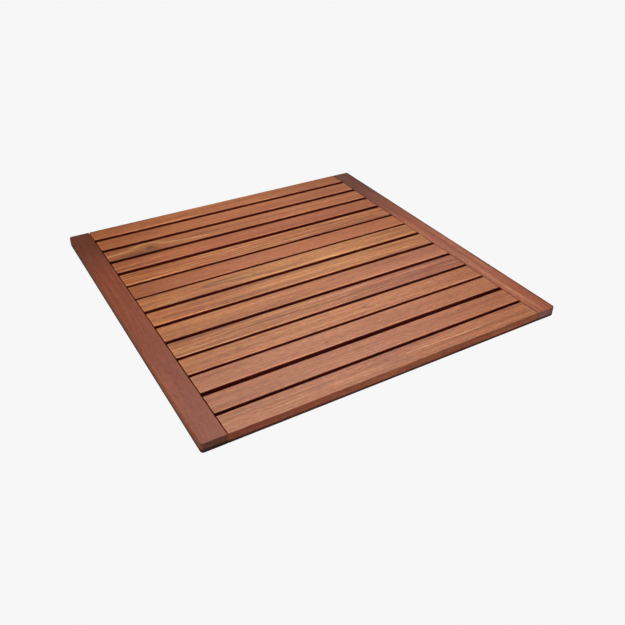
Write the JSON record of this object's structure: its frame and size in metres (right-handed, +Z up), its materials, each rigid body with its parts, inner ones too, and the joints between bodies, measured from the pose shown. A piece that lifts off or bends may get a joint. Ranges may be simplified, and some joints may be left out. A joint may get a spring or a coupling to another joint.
{
  "type": "slatted bath mat",
  "caption": "Square slatted hardwood bath mat: parallel slats between two end rails, on low bearers with rubber feet",
  "frame": {"origin": "middle of the mat in plan, at floor level under the feet", "axes": "+X along the slats, from the left rail to the right one; +Y across the slats, from front to back; +Z up, out of the standing face"},
  "size_m": [0.61, 0.61, 0.0296],
  "materials": {
    "slat_wood": "oiled, satin, red-brown hardwood",
    "rail_wood": "oiled, satin, darker boards of the same hardwood",
    "bearer_wood": "oiled, planed, same hardwood",
    "foot_rubber": "matte black moulded rubber",
    "screw_steel": "stainless steel"
  },
  "bodies": {
    "root": {"rail_left": "rail_wood", "rail_right": "rail_wood", "slat_01": "slat_wood", "slat_02": "slat_wood", "slat_03": "slat_wood", "slat_04": "slat_wood", "slat_05": "slat_wood", "slat_06": "slat_wood", "slat_07": "slat_wood", "slat_08": "slat_wood", "slat_09": "slat_wood", "slat_10": "slat_wood", "slat_11": "slat_wood", "slat_12": "slat_wood", "slat_13": "slat_wood", "slat_14": "slat_wood", "bearer_left": "bearer_wood", "bearer_centre": "bearer_wood", "bearer_right": "bearer_wood", "screw_left_01": "screw_steel", "screw_left_02": "screw_steel", "screw_left_03": "screw_steel", "screw_left_04": "screw_steel", "screw_left_05": "screw_steel", "screw_left_06": "screw_steel", "screw_left_07": "screw_steel", "screw_left_08": "screw_steel", "screw_left_09": "screw_steel", "screw_left_10": "screw_steel", "screw_left_11": "screw_steel", "screw_left_12": "screw_steel", "screw_left_13": "screw_steel", "screw_left_14": "screw_steel", "screw_centre_01": "screw_steel", "screw_centre_05": "screw_steel", "screw_centre_10": "screw_steel", "screw_centre_14": "screw_steel", "screw_right_01": "screw_steel", "screw_right_02": "screw_steel", "screw_right_03": "screw_steel", "screw_right_04": "screw_steel", "screw_right_05": "screw_steel", "screw_right_06": "screw_steel", "screw_right_07": "screw_steel", "screw_right_08": "screw_steel", "screw_right_09": "screw_steel", "screw_right_10": "screw_steel", "screw_right_11": "screw_steel", "screw_right_12": "screw_steel", "screw_right_13": "screw_steel", "screw_right_14": "screw_steel", "foot_left_front": "foot_rubber", "foot_left_middle": "foot_rubber", "foot_left_back": "foot_rubber", "foot_centre_front": "foot_rubber", "foot_centre_middle": "foot_rubber", "foot_centre_back": "foot_rubber", "foot_right_front": "foot_rubber", "foot_right_middle": "foot_rubber", "foot_right_back": "foot_rubber"}
  },
  "joints": []
}
